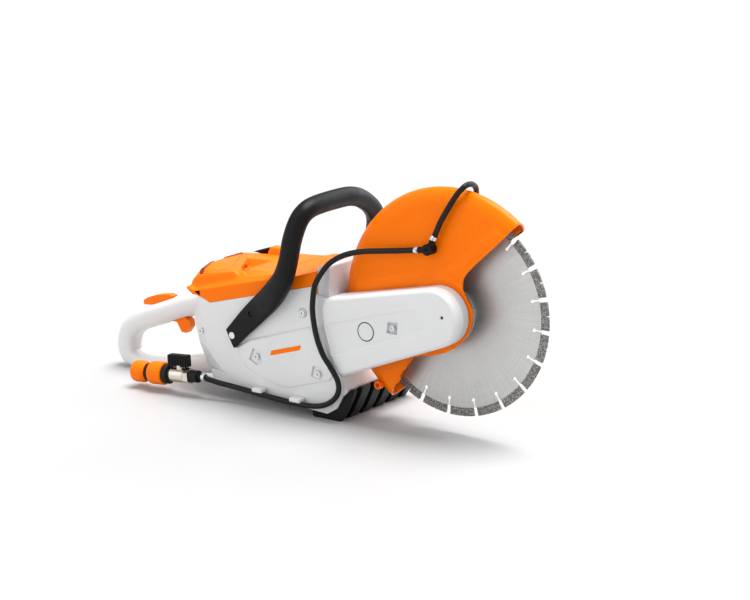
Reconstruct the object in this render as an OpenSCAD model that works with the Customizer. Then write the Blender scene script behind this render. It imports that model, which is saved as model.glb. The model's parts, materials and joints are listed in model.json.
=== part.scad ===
// Battery rescue saw with a belt-driven cutting wheel, an adjustable guard and a water feed.
// +X points forwards, +Z up and -Y to the drive side. The saw stands on Z = 0.

/* [Cutting wheel] */
// Diameter of the diamond wheel
wheel_d = 300; // [296:1:302]
// Number of diamond segments round the rim
segment_count = 20; // [16:1:24]
// Height of a segment along the radius
segment_h = 12; // [8:1:14]
// Thickness of the wheel's steel core
core_t = 2.4; // [2:0.1:2.8]
// Forward place of the wheel's axis
wheel_x = 226; // [226:1:228]
// Height of the wheel's axis above the ground
wheel_z = 174; // [173:1:176]

/* [Guard and arm] */
// Outer radius of the wheel guard
guard_r = 174; // [170:1:175]
// Radius of the arm's rounded front end
arm_r = 42; // [41:1:43]
// Outside radius of the hub that carries the guard
hub_r = 36; // [34:1:37]

/* [Handles] */
// Outside diameter of the front hoop's grip
hoop_d = 27; // [24:1:28]
// Outside diameter of the rear handle's grip
grip_d = 34; // [31:1:36]

/* [Casing] */
// Wall thickness of the plastic casings
wall = 3; // [2.5:0.5:3]
// Radius of the motor's stator
stator_r = 40; // [38:1:40]

/* [Water feed] */
// Outside diameter of the water hose
hose_d = 8; // [7:0.5:8]
// Outside diameter of the orange coupling
coupling_d = 32; // [28:1:32]

/* [Hidden] */
$fn = 48;
fit = 0.05;                 // radial clearance of a running fit
gap = 0.3;                  // space between bodies that move past each other
wheel_y = -23;              // plane of the wheel
wheel_r = wheel_d / 2;
core_r = wheel_r - segment_h;
motor_x = 0;                // motor axis, under the side cover
motor_z = 88;
right_y = -83;              // near and far walls of the casing
seam_y = 10;
left_y = 87;
cover_y = -87;              // face of the side cover
arm_face_y = -86;           // outer face of the arm
arm_split_y = -68;
arm_back_y = -55;
guard_near_y = -48;         // guard's two side walls
guard_far_y = 2;
guard_t = 2.5;
ratio_drive_r = 18;         // belt pulleys
ratio_driven_r = 30;
belt_t = 2.5;
inlet = [-160, -103, 33];   // front end of the valve, where the hose starts
inlet_tilt = -5;
pin_r = 2;
lid_hinge = [-57, 194.4];   // in line with the hood's top, just ahead of the lid
knuckle_r = 1.9;
lid_pin_r = 1;
flap_hinge = [-162.5, 190];
flap_t = 2.6;
flap_pin_r = 0.9;
trigger_pivot = [-250, 92];
lockout_pivot = [-281, 103];
white = "#e9ebec";
grey = "#b9bdc0";
orange = "#ff7a00";
black = "#26282a";
steel = "#b4b7ba";
dark_steel = "#6d7074";

// ---- helpers ----
module xz(y0, y1) translate([0, y1, 0]) rotate([90, 0, 0]) linear_extrude(y1 - y0) children();
module ycyl(x, z, y0, y1, r) translate([x, y0, z]) rotate([-90, 0, 0]) cylinder(h = y1 - y0, r = r);
module yring(x, z, y0, y1, r_out, r_in) difference() {
    ycyl(x, z, y0, y1, r_out);
    ycyl(x, z, y0 - 1, y1 + 1, r_in);
}
module box(x0, x1, y0, y1, z0, z1) translate([x0, y0, z0]) cube([x1 - x0, y1 - y0, z1 - z0]);
function unit(v) = v / norm(v);
function lerp(a, b, t) = a + (b - a) * t;
// A point on a smooth curve through the points p, n steps to a span.
function curve_at(p, i, t) = let(
    a = p[max(i - 1, 0)], b = p[i], c = p[i + 1], d = p[min(i + 2, len(p) - 1)])
    0.5 * (2 * b + (c - a) * t + (2 * a - 5 * b + 4 * c - d) * t * t + (3 * b - a - 3 * c + d) * t * t * t);
function smooth(p, n) = concat([for (i = [0 : len(p) - 2]) for (k = [0 : n - 1]) curve_at(p, i, k / n)],
    [p[len(p) - 1]]);
function heading(p, i) = unit(p[min(i + 1, len(p) - 1)] - p[max(i - 1, 0)]);
// Sweeps an oval along points. Each point is [x, y, z, half width along side, half width across it].
module sweep(p, side, sides = 12) {
    path = [for (q = p) [q[0], q[1], q[2]]];
    rings = [for (i = [0 : len(p) - 1]) let(
        t = heading(path, i), v = unit(cross(t, side)), u = cross(v, t))
        [for (k = [0 : sides - 1]) path[i] + u * p[i][3] * cos(360 * k / sides)
            + v * p[i][4] * sin(360 * k / sides)]];
    points = [for (ring = rings) for (q = ring) q];
    last = (len(p) - 1) * sides;
    walls = [for (i = [0 : len(p) - 2]) for (k = [0 : sides - 1]) let(n = (k + 1) % sides)
        each [[i * sides + k, (i + 1) * sides + k, (i + 1) * sides + n],
            [i * sides + k, (i + 1) * sides + n, i * sides + n]]];
    caps = [[for (k = [0 : sides - 1]) k], [for (k = [sides - 1 : -1 : 0]) last + k]];
    polyhedron(points = points, faces = concat(walls, caps));
}
module tube(route, side, n, d) sweep([for (q = smooth(route, n)) [q[0], q[1], q[2], d / 2, d / 2]], side, 10);

// ---- outlines in the XZ plane ----
casing_outline = [[-186, 150], [-190, 110], [-172, 58], [-160, 40], [76, 38], [86, 47], [74, 66],
    [51, 110], [51, 176], [30, 178], [24, 190.3], [-162, 139.3]];
base_outline = [[-160, 39.8], [-151, 19], [50, 9], [66, 19], [76, 37.8]];
hood_side = [[-189.8, 152.7], [-162, 139.6], [24, 190.6], [29.8, 180], [29.8, 213], [-11, 199], [-58, 188]];
side_cover_outline = [[-115, 80], [-96, 55], [-40, 37], [-16, 37], [55, 59], [66, 73.5], [52.2, 96],
    [40.2, 135], [38.4, 136], [20, 131], [-84, 98]];
hood_y = [-82, 86];        // widest, at the sides
module arm_outline(grow = 0) offset(delta = grow) hull() {
    polygon([[57, 180], [43, 172], [39, 162], [39, 150], [41, 135], [53, 96], [67, 73], [75, 67]]);
    translate([wheel_x, wheel_z]) circle(r = arm_r, $fn = 72);
}
module belt_space() hull() {
    translate([motor_x, motor_z]) circle(r = ratio_drive_r + 8);
    translate([wheel_x, wheel_z]) circle(r = ratio_driven_r + 6);
}
// Battery bay: the room left for the pack, from the base up through the hood.
module battery_bay() box(-167, -62, -54, 62, 42, 205);

// ---- casings ----
module casing(y0, y1, inner_y0, inner_y1) difference() {
    xz(y0, y1) polygon(casing_outline);
    xz(inner_y0, inner_y1) offset(delta = -wall) polygon(casing_outline);
    battery_bay();
    screw_holes();
}
module right_casing() color(white) difference() {
    casing(right_y, seam_y, right_y + wall, seam_y + 1);
    ycyl(motor_x, motor_z, right_y - 1, right_y + wall + 1, 34);
    xz(arm_face_y - 4, arm_back_y + 0.2) arm_outline(0.2);
    xz(-60.2, -56) motor_plate(0.3);
}
module left_casing() color(white) difference() {
    casing(seam_y, left_y, seam_y - 1, left_y - wall);
    for (i = [0 : 5]) box(-30 + 13 * i, -24 + 13 * i, left_y - 4, left_y + 1, 70, 110);
}
module base_casing() color(grey) difference() {
    xz(-81, 85) polygon(base_outline);
    xz(-78, 82) polygon([[-155, 41], [-147.5, 22.5], [49, 13], [63, 21], [71, 41]]);
    for (x = [-72, 1]) ycyl(x, 27.5, -82, -77, 1.5);
}
module front_casing() color(grey) difference() {
    xz(-78, 82) polygon([[30, 178.2], [51, 176.3], [51, 224], [40, 222], [30, 217]]);
    xz(-75, 79) polygon([[33, 177], [48, 175.5], [48, 220.5], [41, 219], [33, 214.5]]);
    xz(-90, arm_back_y + 0.2) arm_outline(0.2);
}
module side_cover() color(white) difference() {
    xz(cover_y, right_y - 0.02) polygon(side_cover_outline);
    screw_holes();
    xz(cover_y - 1, cover_y + 1) polygon([[-84, 66], [-76, 84], [-62, 82], [-66, 62]]);
    xz(cover_y - 1, cover_y + 1) polygon([[26, 60], [30, 76], [44, 76], [48, 60]]);
}
// Upper block of the hood, crowned towards the middle. Each layer is [inset at the sides, outline].
hood_layers = [[2, [[-199, 157.2], [-189.8, 152.9], [-58, 188], [-11, 199], [-11, 197]]],
    [8, [[-198, 159], [-106, 184], [-11, 199.3]]], [11, [[-197, 173], [-148, 186], [-120, 190.5], [-11, 199.4]]],
    [20, [[-196, 183], [-148, 188.5], [-107, 192], [-30, 197.5]]],
    [46, [[-195, 188], [-107, 193.5], [-30, 198.3]]]];
module hood_block() hull() for (layer = hood_layers)
    xz(hood_y[0] + layer[0], hood_y[1] - layer[0]) polygon(layer[1]);
module lid_zone(extra) difference() {
    box(-210, lid_hinge[0] - 1 + extra, -120, 140, 145, 230);
    xz(-121, 141) polygon([[-215, 120], [-215, 146 - extra], [-58, 188.2 - extra], [-20, 198.3 - extra],
        [-20, 120]]);
}
// Room for the lid's top edge to swing past, except at the hood's own knuckles.
module lid_swing() difference() {
    union() {
        ycyl(lid_hinge[0], lid_hinge[1], -90, 90, knuckle_r + 0.4);
        box(lid_hinge[0], lid_hinge[0] + knuckle_r + 0.4, -90, 90, lid_hinge[1], 210);
    }
    for (y = [-34, 36]) {
        box(-60, -50, y, y + 12, 185, lid_hinge[1]);
        ycyl(lid_hinge[0], lid_hinge[1], y, y + 12, knuckle_r);
    }
}
module hood() color(orange) difference() {
    union() {
        xz(hood_y[0], hood_y[1]) polygon(hood_side);
        difference() {
            hood_block();
            lid_zone(0.4);
        }
        for (y = [-34, 36]) ycyl(lid_hinge[0], lid_hinge[1], y, y + 12, knuckle_r);
    }
    lid_swing();
    battery_bay();
    xz(hood_y[0] + wall, hood_y[1] - wall)
        polygon([[-184, 153], [-162, 143], [25, 193.5], [26, 205], [-11, 194], [-60, 183]]);
    ycyl(lid_hinge[0], lid_hinge[1], -55, 61, lid_pin_r + 0.01);
}
module battery_lid() color(orange) difference() {
    union() {
        intersection() {
            hood_block();
            lid_zone(0);
        }
        for (y = [-54, 48]) ycyl(lid_hinge[0], lid_hinge[1], y, y + 12, knuckle_r);
        hull() {
            box(-140, -110, 36, 62, 188, 194);
            box(-138, -122, 38, 58, 193, 200);
        }
    }
    difference() {
        hull() {
            xz(-74, 78) polygon([[-192, 150], [-64, 150], [-64, 182], [-192, 163]]);
            xz(-56, 60) polygon([[-191, 176], [-64, 176], [-64, 187], [-191, 180]]);
        }
        translate([0, 0, 179]) linear_extrude(12) offset(delta = 3) polygon(pocket);
        box(-170, -150, -20, 20, 184, 200);
    }
    for (y = [-34, 36]) ycyl(lid_hinge[0], lid_hinge[1], y - 0.4, y + 12.4, knuckle_r + 0.4);
    ycyl(lid_hinge[0], lid_hinge[1], -55, 61, lid_pin_r + fit);
    difference() {
        translate([0, 0, 170]) linear_extrude(50) offset(delta = 0.5) polygon(flap_outline);
        translate([0, 0, -flap_t - 0.4]) hood_block();
    }
    ycyl(flap_hinge[0], flap_hinge[1], -12.4, 12.4, 1.75);
    box(flap_hinge[0] - 3.5, flap_hinge[0], -12.4, 12.4, flap_hinge[1] - 1.6, 205);
    box(flap_hinge[0] - 0.1, flap_hinge[0] + 1.75, -12.4, 12.4, flap_hinge[1], 205);
    ycyl(flap_hinge[0], flap_hinge[1], -16, 16, flap_pin_r + fit);
    hull() {
        translate([0, 0, 200]) linear_extrude(1) polygon(pocket);
        translate([0, 0, 195]) linear_extrude(1) polygon(pocket);
        translate([0, 0, 184]) linear_extrude(1) polygon(pocket_floor);
    }
    box(-160, -141, 36, 56, 190, 205);
}
flap_outline = [[-205, -36], [-197, -34], [-184, -61], [-171, -51], [-165.5, -28], [-164.5, 5], [-170, 20],
    [-181, 28], [-205, 28]];
grip_outlines = [[[-205, -36], [-197, -34], [-184, -61], [-179.5, -57.5], [-191, -32], [-205, -31]],
    [[-205, 3], [-191, 3], [-191, 27], [-205, 27]]];
pocket = [[-158, 4], [-106, -2], [-96, -74], [-124, -52], [-146, -20]];
pocket_floor = [[-156, 1], [-144, -4], [-117, -50], [-124, -51], [-145, -20]];
module lid_hinge_pin() color(steel) ycyl(lid_hinge[0], lid_hinge[1], -54, 60, lid_pin_r);
// Curved sheet that follows the top of the lid, within an outline seen from above.
module lid_skin(outline, rise) difference() {
    intersection() {
        translate([0, 0, rise]) hood_block();
        translate([0, 0, 170]) linear_extrude(50) polygon(outline);
    }
    translate([0, 0, -flap_t]) hood_block();
}
module latch_flap() color(orange) difference() {
    union() {
        lid_skin(flap_outline, 0);
        ycyl(flap_hinge[0], flap_hinge[1], -12, 12, 1.3);
        box(flap_hinge[0] - 3, flap_hinge[0], -12, 12, flap_hinge[1] - 1.2, flap_hinge[1] + 1);
        ycyl(flap_hinge[0], flap_hinge[1], -15.5, 15.5, flap_pin_r);
    }
    for (g = grip_outlines) translate([0, 0, 165]) linear_extrude(50) polygon(g);
}
module flap_grips() color("#8c2a12") for (g = grip_outlines) lid_skin(g, 1.6);
module release_button() color("#f04e10") translate([-133, -31, 189.3]) rotate([0, 0, -56.2])
    cube([14, 4.8, 6], center = true);

// ---- power ----
module battery_pack() color(black) difference() {
    hull() {
        box(-160, -67, -48, 56, 52, 172);
        box(-154, -72, -42, 50, 50, 174);
    }
    box(-120, -90, -18, 30, 49, 62);
}
module contact_block() color("#3a3d40") union() {
    box(-124, -86, -22, 34, 43.2, 49);
    for (y = [-14 : 13 : 25]) box(-116, -94, y, y + 1.5, 49, 60);
}
module motor_controller() color(steel) union() {
    box(-44, 40, 57, 62, 48, 146);
    for (i = [0 : 8]) box(-44, 40, 62, 80, 50 + 11 * i, 53 + 11 * i);
}
module wiring_harness() color("#b03024") {
    tube([[-85.8, 24, 46.2], [-74, 24, 46.2], [-63, 27, 46.2], [-54, 34, 47], [-50, 44, 51], [-49, 54, 58],
        [-46.8, 58.5, 67], [-46.6, 59.5, 76]], [0.3, -0.6, 0.74], 2, 5);
}
module motor_can() color(steel) difference() {
    ycyl(motor_x, motor_z, -56, 37, stator_r + 3);
    ycyl(motor_x, motor_z, -57, 32, stator_r + fit);
    ycyl(motor_x, motor_z, 31, 38, 13 + fit);
}
module motor_stator() color(dark_steel) difference() {
    ycyl(motor_x, motor_z, -48, 28, stator_r);
    ycyl(motor_x, motor_z, -49, 29, 24.6);
    for (i = [0 : 11]) translate([motor_x, -49, motor_z]) rotate([0, 30 * i, 0])
        translate([27, 0, -3.5]) cube([8, 78, 7]);
}
module motor_rotor() color(steel) yring(motor_x, motor_z, -46, 26, 24, 6.02);
module motor_shaft() color(steel) ycyl(motor_x, motor_z, -79, 52, 6);
module cooling_fan() color(black) difference() {
    union() {
        ycyl(motor_x, motor_z, 42, 52, 10);
        ycyl(motor_x, motor_z, 42, 43.5, 34);
        for (i = [0 : 10]) translate([motor_x, 43.4, motor_z]) rotate([0, 360 * i / 11, 0])
            translate([9.5, 0, -0.8]) cube([23, 8, 1.6]);
    }
    ycyl(motor_x, motor_z, 41, 53, 6.02);
}
module motor_bearings() color(steel) {
    yring(motor_x, motor_z, -60, -53, 13, 6 + fit);
    yring(motor_x, motor_z, 32, 37, 13, 6 + fit);
}

// ---- belt drive ----
module pulley(x, z, r, bore_r, teeth) difference() {
    ycyl(x, z, -77, -62, r);
    ycyl(x, z, -78, -61, bore_r + 0.02);
    for (i = [1 : teeth]) translate([x, -78, z]) rotate([0, 360 * i / teeth, 0])
        translate([r - 1, 0, -1]) cube([3, 17, 2]);
}
module drive_pulley() color(dark_steel) pulley(motor_x, motor_z, ratio_drive_r, 6, 20);
module driven_pulley() color(dark_steel) pulley(wheel_x, wheel_z, ratio_driven_r, 10, 33);
module belt_loop(grow) hull() {
    translate([motor_x, motor_z]) circle(r = ratio_drive_r + grow, $fn = 64);
    translate([wheel_x, wheel_z]) circle(r = ratio_driven_r + grow, $fn = 64);
}
module drive_belt() color(black) xz(-76, -64) difference() {
    belt_loop(gap + belt_t);
    belt_loop(gap);
}
module arm_case() color(grey) difference() {
    union() {
        xz(arm_split_y, arm_back_y) arm_outline();
        xz(-60, -56.2) motor_plate(0);
        ycyl(wheel_x, wheel_z, arm_back_y - 0.1, -44, hub_r);
    }
    xz(arm_split_y - 1, -60) belt_space();
    ycyl(motor_x, motor_z, -61, -55, 13 + fit);
    ycyl(wheel_x, wheel_z, -61, -43, 21 + fit);
}
// Plate that carries the motor behind the arm.
module motor_plate(grow) hull() {
    translate([motor_x, motor_z]) circle(r = 43 + grow);
    translate([70, 118]) circle(r = 45 + grow);
}
module arm_cover() color(white) difference() {
    hull() {
        xz(-82, arm_split_y - 0.02) arm_outline();
        xz(arm_face_y, arm_face_y + 0.5) arm_outline(-3.5);
    }
    xz(-81.5, arm_split_y + 1) belt_space();
    ycyl(118, 142, arm_face_y - 1, -84, 11.5);
    box(156, 168, arm_face_y - 1, -83, 146, 157);
    ycyl(244, 179, arm_face_y - 1, -84.5, 1.8);
}
module arm_cap() color(white) difference() {
    ycyl(118, 142, arm_face_y - 0.6, -84, 10.6);
    box(106, 130, arm_face_y - 2, arm_face_y + 0.2, 141, 143);
}
module tension_screw() color(steel) difference() {
    ycyl(162, 151.5, -85.4, -83, 4);
    translate([162, -86, 151.5]) rotate([-90, 0, 0]) cylinder(h = 2, r = 2.3, $fn = 6);
}

// ---- wheel ----
module spindle() color(steel) difference() {
    union() {
        ycyl(wheel_x, wheel_z, -79, -16, 10);
        ycyl(wheel_x, wheel_z, -43.5, -41, 15);
    }
    ycyl(wheel_x, wheel_z, -40, -15, 4.05);
}
module spindle_bearings() color(steel) for (y = [-60, -51]) difference() {
    yring(wheel_x, wheel_z, y, y + 7, 21, 10 + fit);
    yring(wheel_x, wheel_z, y - 1, y + 1, 18, 13);
    yring(wheel_x, wheel_z, y + 6, y + 8, 18, 13);
}
module inner_flange() color(steel) difference() {
    union() {
        ycyl(wheel_x, wheel_z, -40.8, wheel_y - core_t / 2 - 4, 20);
        ycyl(wheel_x, wheel_z, wheel_y - core_t / 2 - 4, wheel_y - core_t / 2, 32);
    }
    ycyl(wheel_x, wheel_z, -42, -20, 10.02);
}
module outer_flange() color(steel) difference() {
    ycyl(wheel_x, wheel_z, wheel_y + core_t / 2, wheel_y + core_t / 2 + 4, 32);
    ycyl(wheel_x, wheel_z, -24, -14, 10.02);
}
module arbor_bolt() color(dark_steel) {
    ycyl(wheel_x, wheel_z, -38, -15.9, 4);
    ycyl(wheel_x, wheel_z, -15.9, -13.5, 14);
    translate([wheel_x, -13.5, wheel_z]) rotate([-90, 0, 0]) cylinder(h = 8, r = 9, $fn = 6);
}
module wheel_core() color("#a9a9a7") difference() {
    ycyl(wheel_x, wheel_z, wheel_y - core_t / 2, wheel_y + core_t / 2, core_r);
    ycyl(wheel_x, wheel_z, wheel_y - 3, wheel_y + 3, 10.02);
    for (i = [0 : segment_count - 1]) translate([wheel_x, wheel_y, wheel_z])
        rotate([0, -50 + i * 360 / segment_count, 0]) {
            translate([core_r - 11, -3, -1.2]) cube([20, 6, 2.4]);
            translate([core_r - 11, 3, 0]) rotate([90, 0, 0]) cylinder(h = 6, r = 2.6);
        }
}
module wheel_segments() color("#6f6d68") for (i = [0 : segment_count - 1])
    translate([wheel_x, wheel_y, wheel_z]) rotate([90, -50 + i * 360 / segment_count, 0])
        difference() {
            rotate([0, 0, -16.7]) translate([0, 0, -1.6]) rotate_extrude(angle = 15.4)
                translate([core_r, 0]) square([segment_h, 3.2]);
            rotate([0, 0, -9]) translate([wheel_r - 5, -0.8, -3]) cube([9, 1.6, 6]);
        }

// ---- guard ----
// The guard's side walls end at a slanting mouth in front and a straight lower edge behind.
mouth_outline = [[128, 152], [109.6, 134.1], [96.3, 121.5], [75.4, 101.2], [56.5, 83.5], [40, 67], [33, 58.5],
    [29.5, 50], [30.5, 40], [37.4, 26.5], [44, 16.2], [47, 5.4], [46, -9], [38.5, -25], [25.5, -40], [-14, -60],
    [-52, -72], [-82, -125], [-92, -138]];
module guard_plate(y0, y1, mouth) difference() {
    ycyl(wheel_x, wheel_z, y0, y1, guard_r - 27);
    translate([wheel_x, 0, wheel_z]) xz(y0 - 1, y1 + 1)
        polygon(concat(mouth, [[-92, -260], [260, -260], [260, 260], [200, 190]]));
}
far_mouth = [[128, 170], [98, 134], [77, 113], [60, 90], [40, 50], [30, 0], [-10, -50], [-52, -72], [-82, -125], [-92, -138]];
module guard_rim(y0, y1) intersection() {
    translate([guard_r - 28, y0]) square([40, y1 - y0]);
    rim_section();
}
module rim_band(y0, y1) translate([wheel_x, 0, wheel_z]) rotate([90, -51.5, 0]) mirror([0, 0, 1])
    rotate_extrude(angle = 184.5) guard_rim(y0, y1);
// The guard is two pressed shells that meet in the wheel's plane.
module guard_near_shell() color(orange) difference() {
    union() {
        rim_band(guard_near_y - 1, wheel_y);
        guard_plate(guard_near_y, guard_near_y + guard_t, mouth_outline);
        ycyl(wheel_x, wheel_z, -54, guard_near_y + 0.5, 47);
        ycyl(116, 55, -54.7, guard_near_y + 1, 6);
    }
    ycyl(wheel_x, wheel_z, -55, -44, hub_r + fit);
    ycyl(116, 55, -57, -50, 3);
    ycyl(203, 263, -49, -45, 3.02);
}
module guard_far_shell() color(orange) difference() {
    union() {
        rim_band(wheel_y + 0.02, guard_far_y + 1);
        guard_plate(guard_far_y - guard_t, guard_far_y, far_mouth);
    }
    ycyl(wheel_x, wheel_z, -10, 4, 46);
}
// Section of the rim: X is the distance from its widest point, which is nearer to the arm than to the far wall.
rim_outer = [[-30, -48], [-25.5, -48], [-19, -47.2], [-12, -45], [-6, -41.5], [-2, -37], [0, -32], [-1, -27.5],
    [-4, -22], [-8.5, -15], [-13.5, -8], [-18.5, -2.5], [-22.5, 0.8], [-26, 2], [-30, 2]];
module rim_section() translate([guard_r, 0]) difference() {
    polygon(rim_outer);
    offset(delta = -guard_t) polygon(concat(rim_outer, [[-60, 2], [-60, -48]]));
}
module guard_ring() color(steel) yring(wheel_x, wheel_z, -43.9, -41.9, 43, 21.4);
module hose_fitting() color(black) difference() {
    union() {
        ycyl(203, 263, -62, guard_near_y - 0.02, 8);
        ycyl(203, 263, guard_near_y - 0.1, -40, 3);
        translate([203, -57, 263]) rotate([0, -100, 0]) cylinder(h = 14, r = 4.4);
        translate([203, -57, 263]) rotate([0, 27, 0]) cylinder(h = 15, r = 4.4);
    }
    translate([203, -63, 263]) rotate([-90, 0, 0]) cylinder(h = 2, r = 3, $fn = 6);
}
module guard_hose_clamps() color(steel) {
    translate([203, -57, 263]) rotate([0, -100, 0]) translate([0, 0, 16]) clamp_band();
    translate([203, -57, 263]) rotate([0, 27, 0]) translate([0, 0, 17]) clamp_band();
}
module clamp_band() difference() {
    union() {
        cylinder(h = 6, r = hose_d / 2 + 1.2);
        translate([-2, -hose_d / 2 - 3.2, 0.5]) cube([4, 4, 5]);
    }
    translate([0, 0, -1]) cylinder(h = 8, r = hose_d / 2 + 0.3);
}
module water_nozzles() color(black) {
    yring(203, 263, -44.9, -40.1, 6, 3.05);
    ycyl(256, 305, guard_far_y - 7, guard_far_y - guard_t - 0.1, 6);
}

// ---- water feed ----
feed_route = [[-158.5, -103, 33], [-137, -98, 28], [-100, -93, 24], [-49, -91.5, 20], [8, -91.5, 18], [41, -91.5, 21],
    [63, -91.5, 31], [75, -91.5, 46], [75, -92, 63], [63, -93, 82], [51, -94, 98], [42, -94.5, 118], [37, -95, 138],
    [34, -95, 160], [35, -95, 179]];
free_route = [[35.2, -95, 179.3], [38, -94, 197], [46, -90, 214], [56, -83, 229], [72, -73, 240], [96, -65, 247],
    [126, -60, 251], [156, -57.8, 255.2], [180, -57, 259], [189, -57, 260.5]];
guard_route = [[210.1, -57, 276.9], [217, -57, 290], [230, -55.5, 314], [243, -54.5, 334], [250, -53, 345],
    [255, -46, 352.5], [258, -36, 355], [260, -24, 355.5], [261, -12, 353.5], [262, -1, 347.5], [262, 6.5, 337],
    [261, 8, 325], [257, 7.5, 311.4]];
module feed_hose() color(black) tube(feed_route, [0, 1, 0.05], 2, hose_d);
module free_hose() color(black) tube(free_route, [0, 1, 0.05], 2, hose_d);
module guard_hose() color(black) {
    tube(guard_route, [0.95, 0, -0.3], 2, hose_d);
    translate([256, guard_far_y + 0.05, 305]) rotate([-90, 0, 0]) cylinder(h = 9, r = 6);
}
module hose_clips() color(white) for (x = [-72, 1]) translate([x, 0, x < 0 ? 21.2 : 17.8]) difference() {
    union() {
        box(-7, 7, -97.5, -81.1, -1, 10);
        ycyl(0, 7, -97.5, -86, 6);
        ycyl(0, x < 0 ? 6.3 : 9.7, -82, -79, 1.45);
    }
    translate([-12, -91.5, 0.4]) rotate([0, 90, 0]) cylinder(h = 24, r = hose_d / 2 + 1);
    box(-8, 8, -92, -90, -6, 0.5);
}
module along_inlet() translate(inlet) rotate([0, inlet_tilt, 0]) rotate([0, -90, 0]) children();
module hose_ferrule() color(black) difference() {
    along_inlet() union() {
        translate([0, 0, 1]) cylinder(h = 5, r = 5.6);
        translate([0, 0, 6]) cylinder(h = 14, r = 9);
    }
    along_inlet() translate([0, 0, -3]) cylinder(h = 8, r = hose_d / 2 + 0.3);
}
module valve_body() color("#c9c4b4") along_inlet() difference() {
    union() {
        translate([0, 0, 20.1]) cylinder(h = 10, r = 12, $fn = 6);
        translate([0, 0, 30]) cylinder(h = 24, r = 11);
        translate([0, 0, 54]) cylinder(h = 6, r = 9);
        translate([0, 0, 40]) rotate([0, 90, 0]) cylinder(h = 15, r = 6);
    }
    translate([0, 0, 40]) sphere(r = 8.3);
    translate([0, 0, 40]) rotate([0, 90, 0]) cylinder(h = 16, r = 2.5 + fit);
    translate([0, 0, 19]) cylinder(h = 42, r = 4);
}
module valve_ball() color(steel) along_inlet() translate([0, 0, 40]) difference() {
    union() {
        sphere(r = 8);
        rotate([0, 90, 0]) cylinder(h = 19, r = 2.5);
    }
    translate([0, 0, -9]) cylinder(h = 18, r = 4);
}
module valve_knob() color(black) along_inlet() translate([15.4, 0, 40]) difference() {
    union() {
        rotate([0, 90, 0]) cylinder(h = 5, r = 8);
        translate([1, -5, -15]) cube([11, 10, 30]);
    }
    translate([-1, 0, 0]) rotate([0, 90, 0]) cylinder(h = 5, r = 2.52);
}
module coupling_body() color(orange) along_inlet() difference() {
    union() {
        translate([0, 0, 60.1]) cylinder(h = 8, r = 13);
        translate([0, 0, 68]) cylinder(h = 26, r = coupling_d / 2);
        translate([0, 0, 94]) cylinder(h = 30, r = 11);
    }
    translate([0, 0, 96]) cylinder(h = 30, r = 8);
    translate([0, 0, 60]) cylinder(h = 40, r = 4);
}
module coupling_collar() color(orange) along_inlet() difference() {
    union() {
        translate([0, 0, 102]) cylinder(h = 4, r = coupling_d / 2 - 3);
        translate([0, 0, 106]) cylinder(h = 20, r = coupling_d / 2);
    }
    translate([0, 0, 101]) cylinder(h = 30, r = 11.08);
}

// ---- handles ----
// The near leg, then the bar over the top and the far leg, which slopes out further down.
hoop_near = [[-114, -88, 97, 14.2, 4.2], [-98, -88, 114, 15.4, 4.2], [-79, -88.5, 132.6, 17, 4.6],
    [-61, -90.5, 149, 17.4, 6.5], [-43, -95, 164.5, 17.6, 9.5], [-27, -99, 181, 17, 12.2], [-13, -102, 199, 15.6, 13.3],
    [-4.5, -103.5, 217, 14.2, hoop_d / 2]];
hoop_top = [for (p = [[0.2, -103.5, 234], [5, -103.5, 256], [12, -103, 277], [16.5, -98, 291], [19, -88, 299],
    [20.5, -74, 303], [21, -50, 304.5], [21, -20, 304.5], [20.5, 10, 303], [18.5, 36, 297], [15, 60, 286.5],
    [11.5, 80, 274], [7, 96, 259], [1.5, 105, 241]]) [each p, hoop_d / 2, hoop_d / 2]];
function mirrored(p) = [for (i = [len(p) - 1 : -1 : 0]) [p[i][0], right_y + left_y - p[i][1], p[i][2], p[i][3], p[i][4]]];
module front_handle() color(black) difference() {
    sweep(smooth(concat(hoop_near, hoop_top, mirrored(hoop_near)), 2), [0.86, 0, -0.5], 16);
    box(-140, 0, right_y - 0.05, left_y + 0.05, 60, 260);
    ycyl(-111, 101, -100, -70, 3.3);
    ycyl(-78, 133, -100, -70, 3.8);
    ycyl(-111, 101, 80, 105, 3.3);
    ycyl(-78, 133, 80, 105, 3.8);
}
module handle_screws() {
    for (y = [right_y - 9.6, left_y + 0.1]) ycyl(-111, 101, y, y + 9.5, 3.2);
    ycyl(-111, 101, right_y - 11.5, right_y - 9.4, 5);
    ycyl(-111, 101, left_y + 9.4, left_y + 11.5, 5);
}
module fasteners() color(steel) {
    handle_screws();
    casing_screws();
}
grip_path = [[-170, -23, 128, 17, 20], [-200, -23, 124, 17, 19.5], [-228, -23, 117.5, 17, 18.2],
    for (p = [[-255, 108.6], [-290, 95], [-322, 82.5], [-343, 72.5], [-356.5, 60]])
        [p[0], -23, p[1], grip_d / 2, grip_d / 2],
    [-363, -23, 46, 17, 17.5], [-364.5, -23, 32, 17, 17.8], [-361, -23, 20.5, 17, 17], [-352, -23, 14, 16.8, 13.5],
    [-337, -23, 11.3, 16.5, 10.9], [-318, -23, 11, 16.5, 10.7], [-290, -23, 13, 17, 12], [-250, -23, 20, 17.5, 13],
    [-210, -23, 28, 18, 14], [-165, -23, 36, 18, 15]];
module grip_solid() difference() {
    sweep(smooth(grip_path, 2), [0, 1, 0], 16);
    xz(-60, 20) offset(delta = 0.02) polygon(concat(casing_outline, [[-162, 300], [60, 300]]));
    xz(-60, 20) polygon([[-172, 58.1], [-151, 19], [-151, -10], [0, -10], [0, 60]]);
    box(-286, -241, -31, -15, 58, 103.5);
    box(-334, -272, -30, -16, 96, 140);
    box(-285, -262, -29, -17, 90, 100);
}
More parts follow.
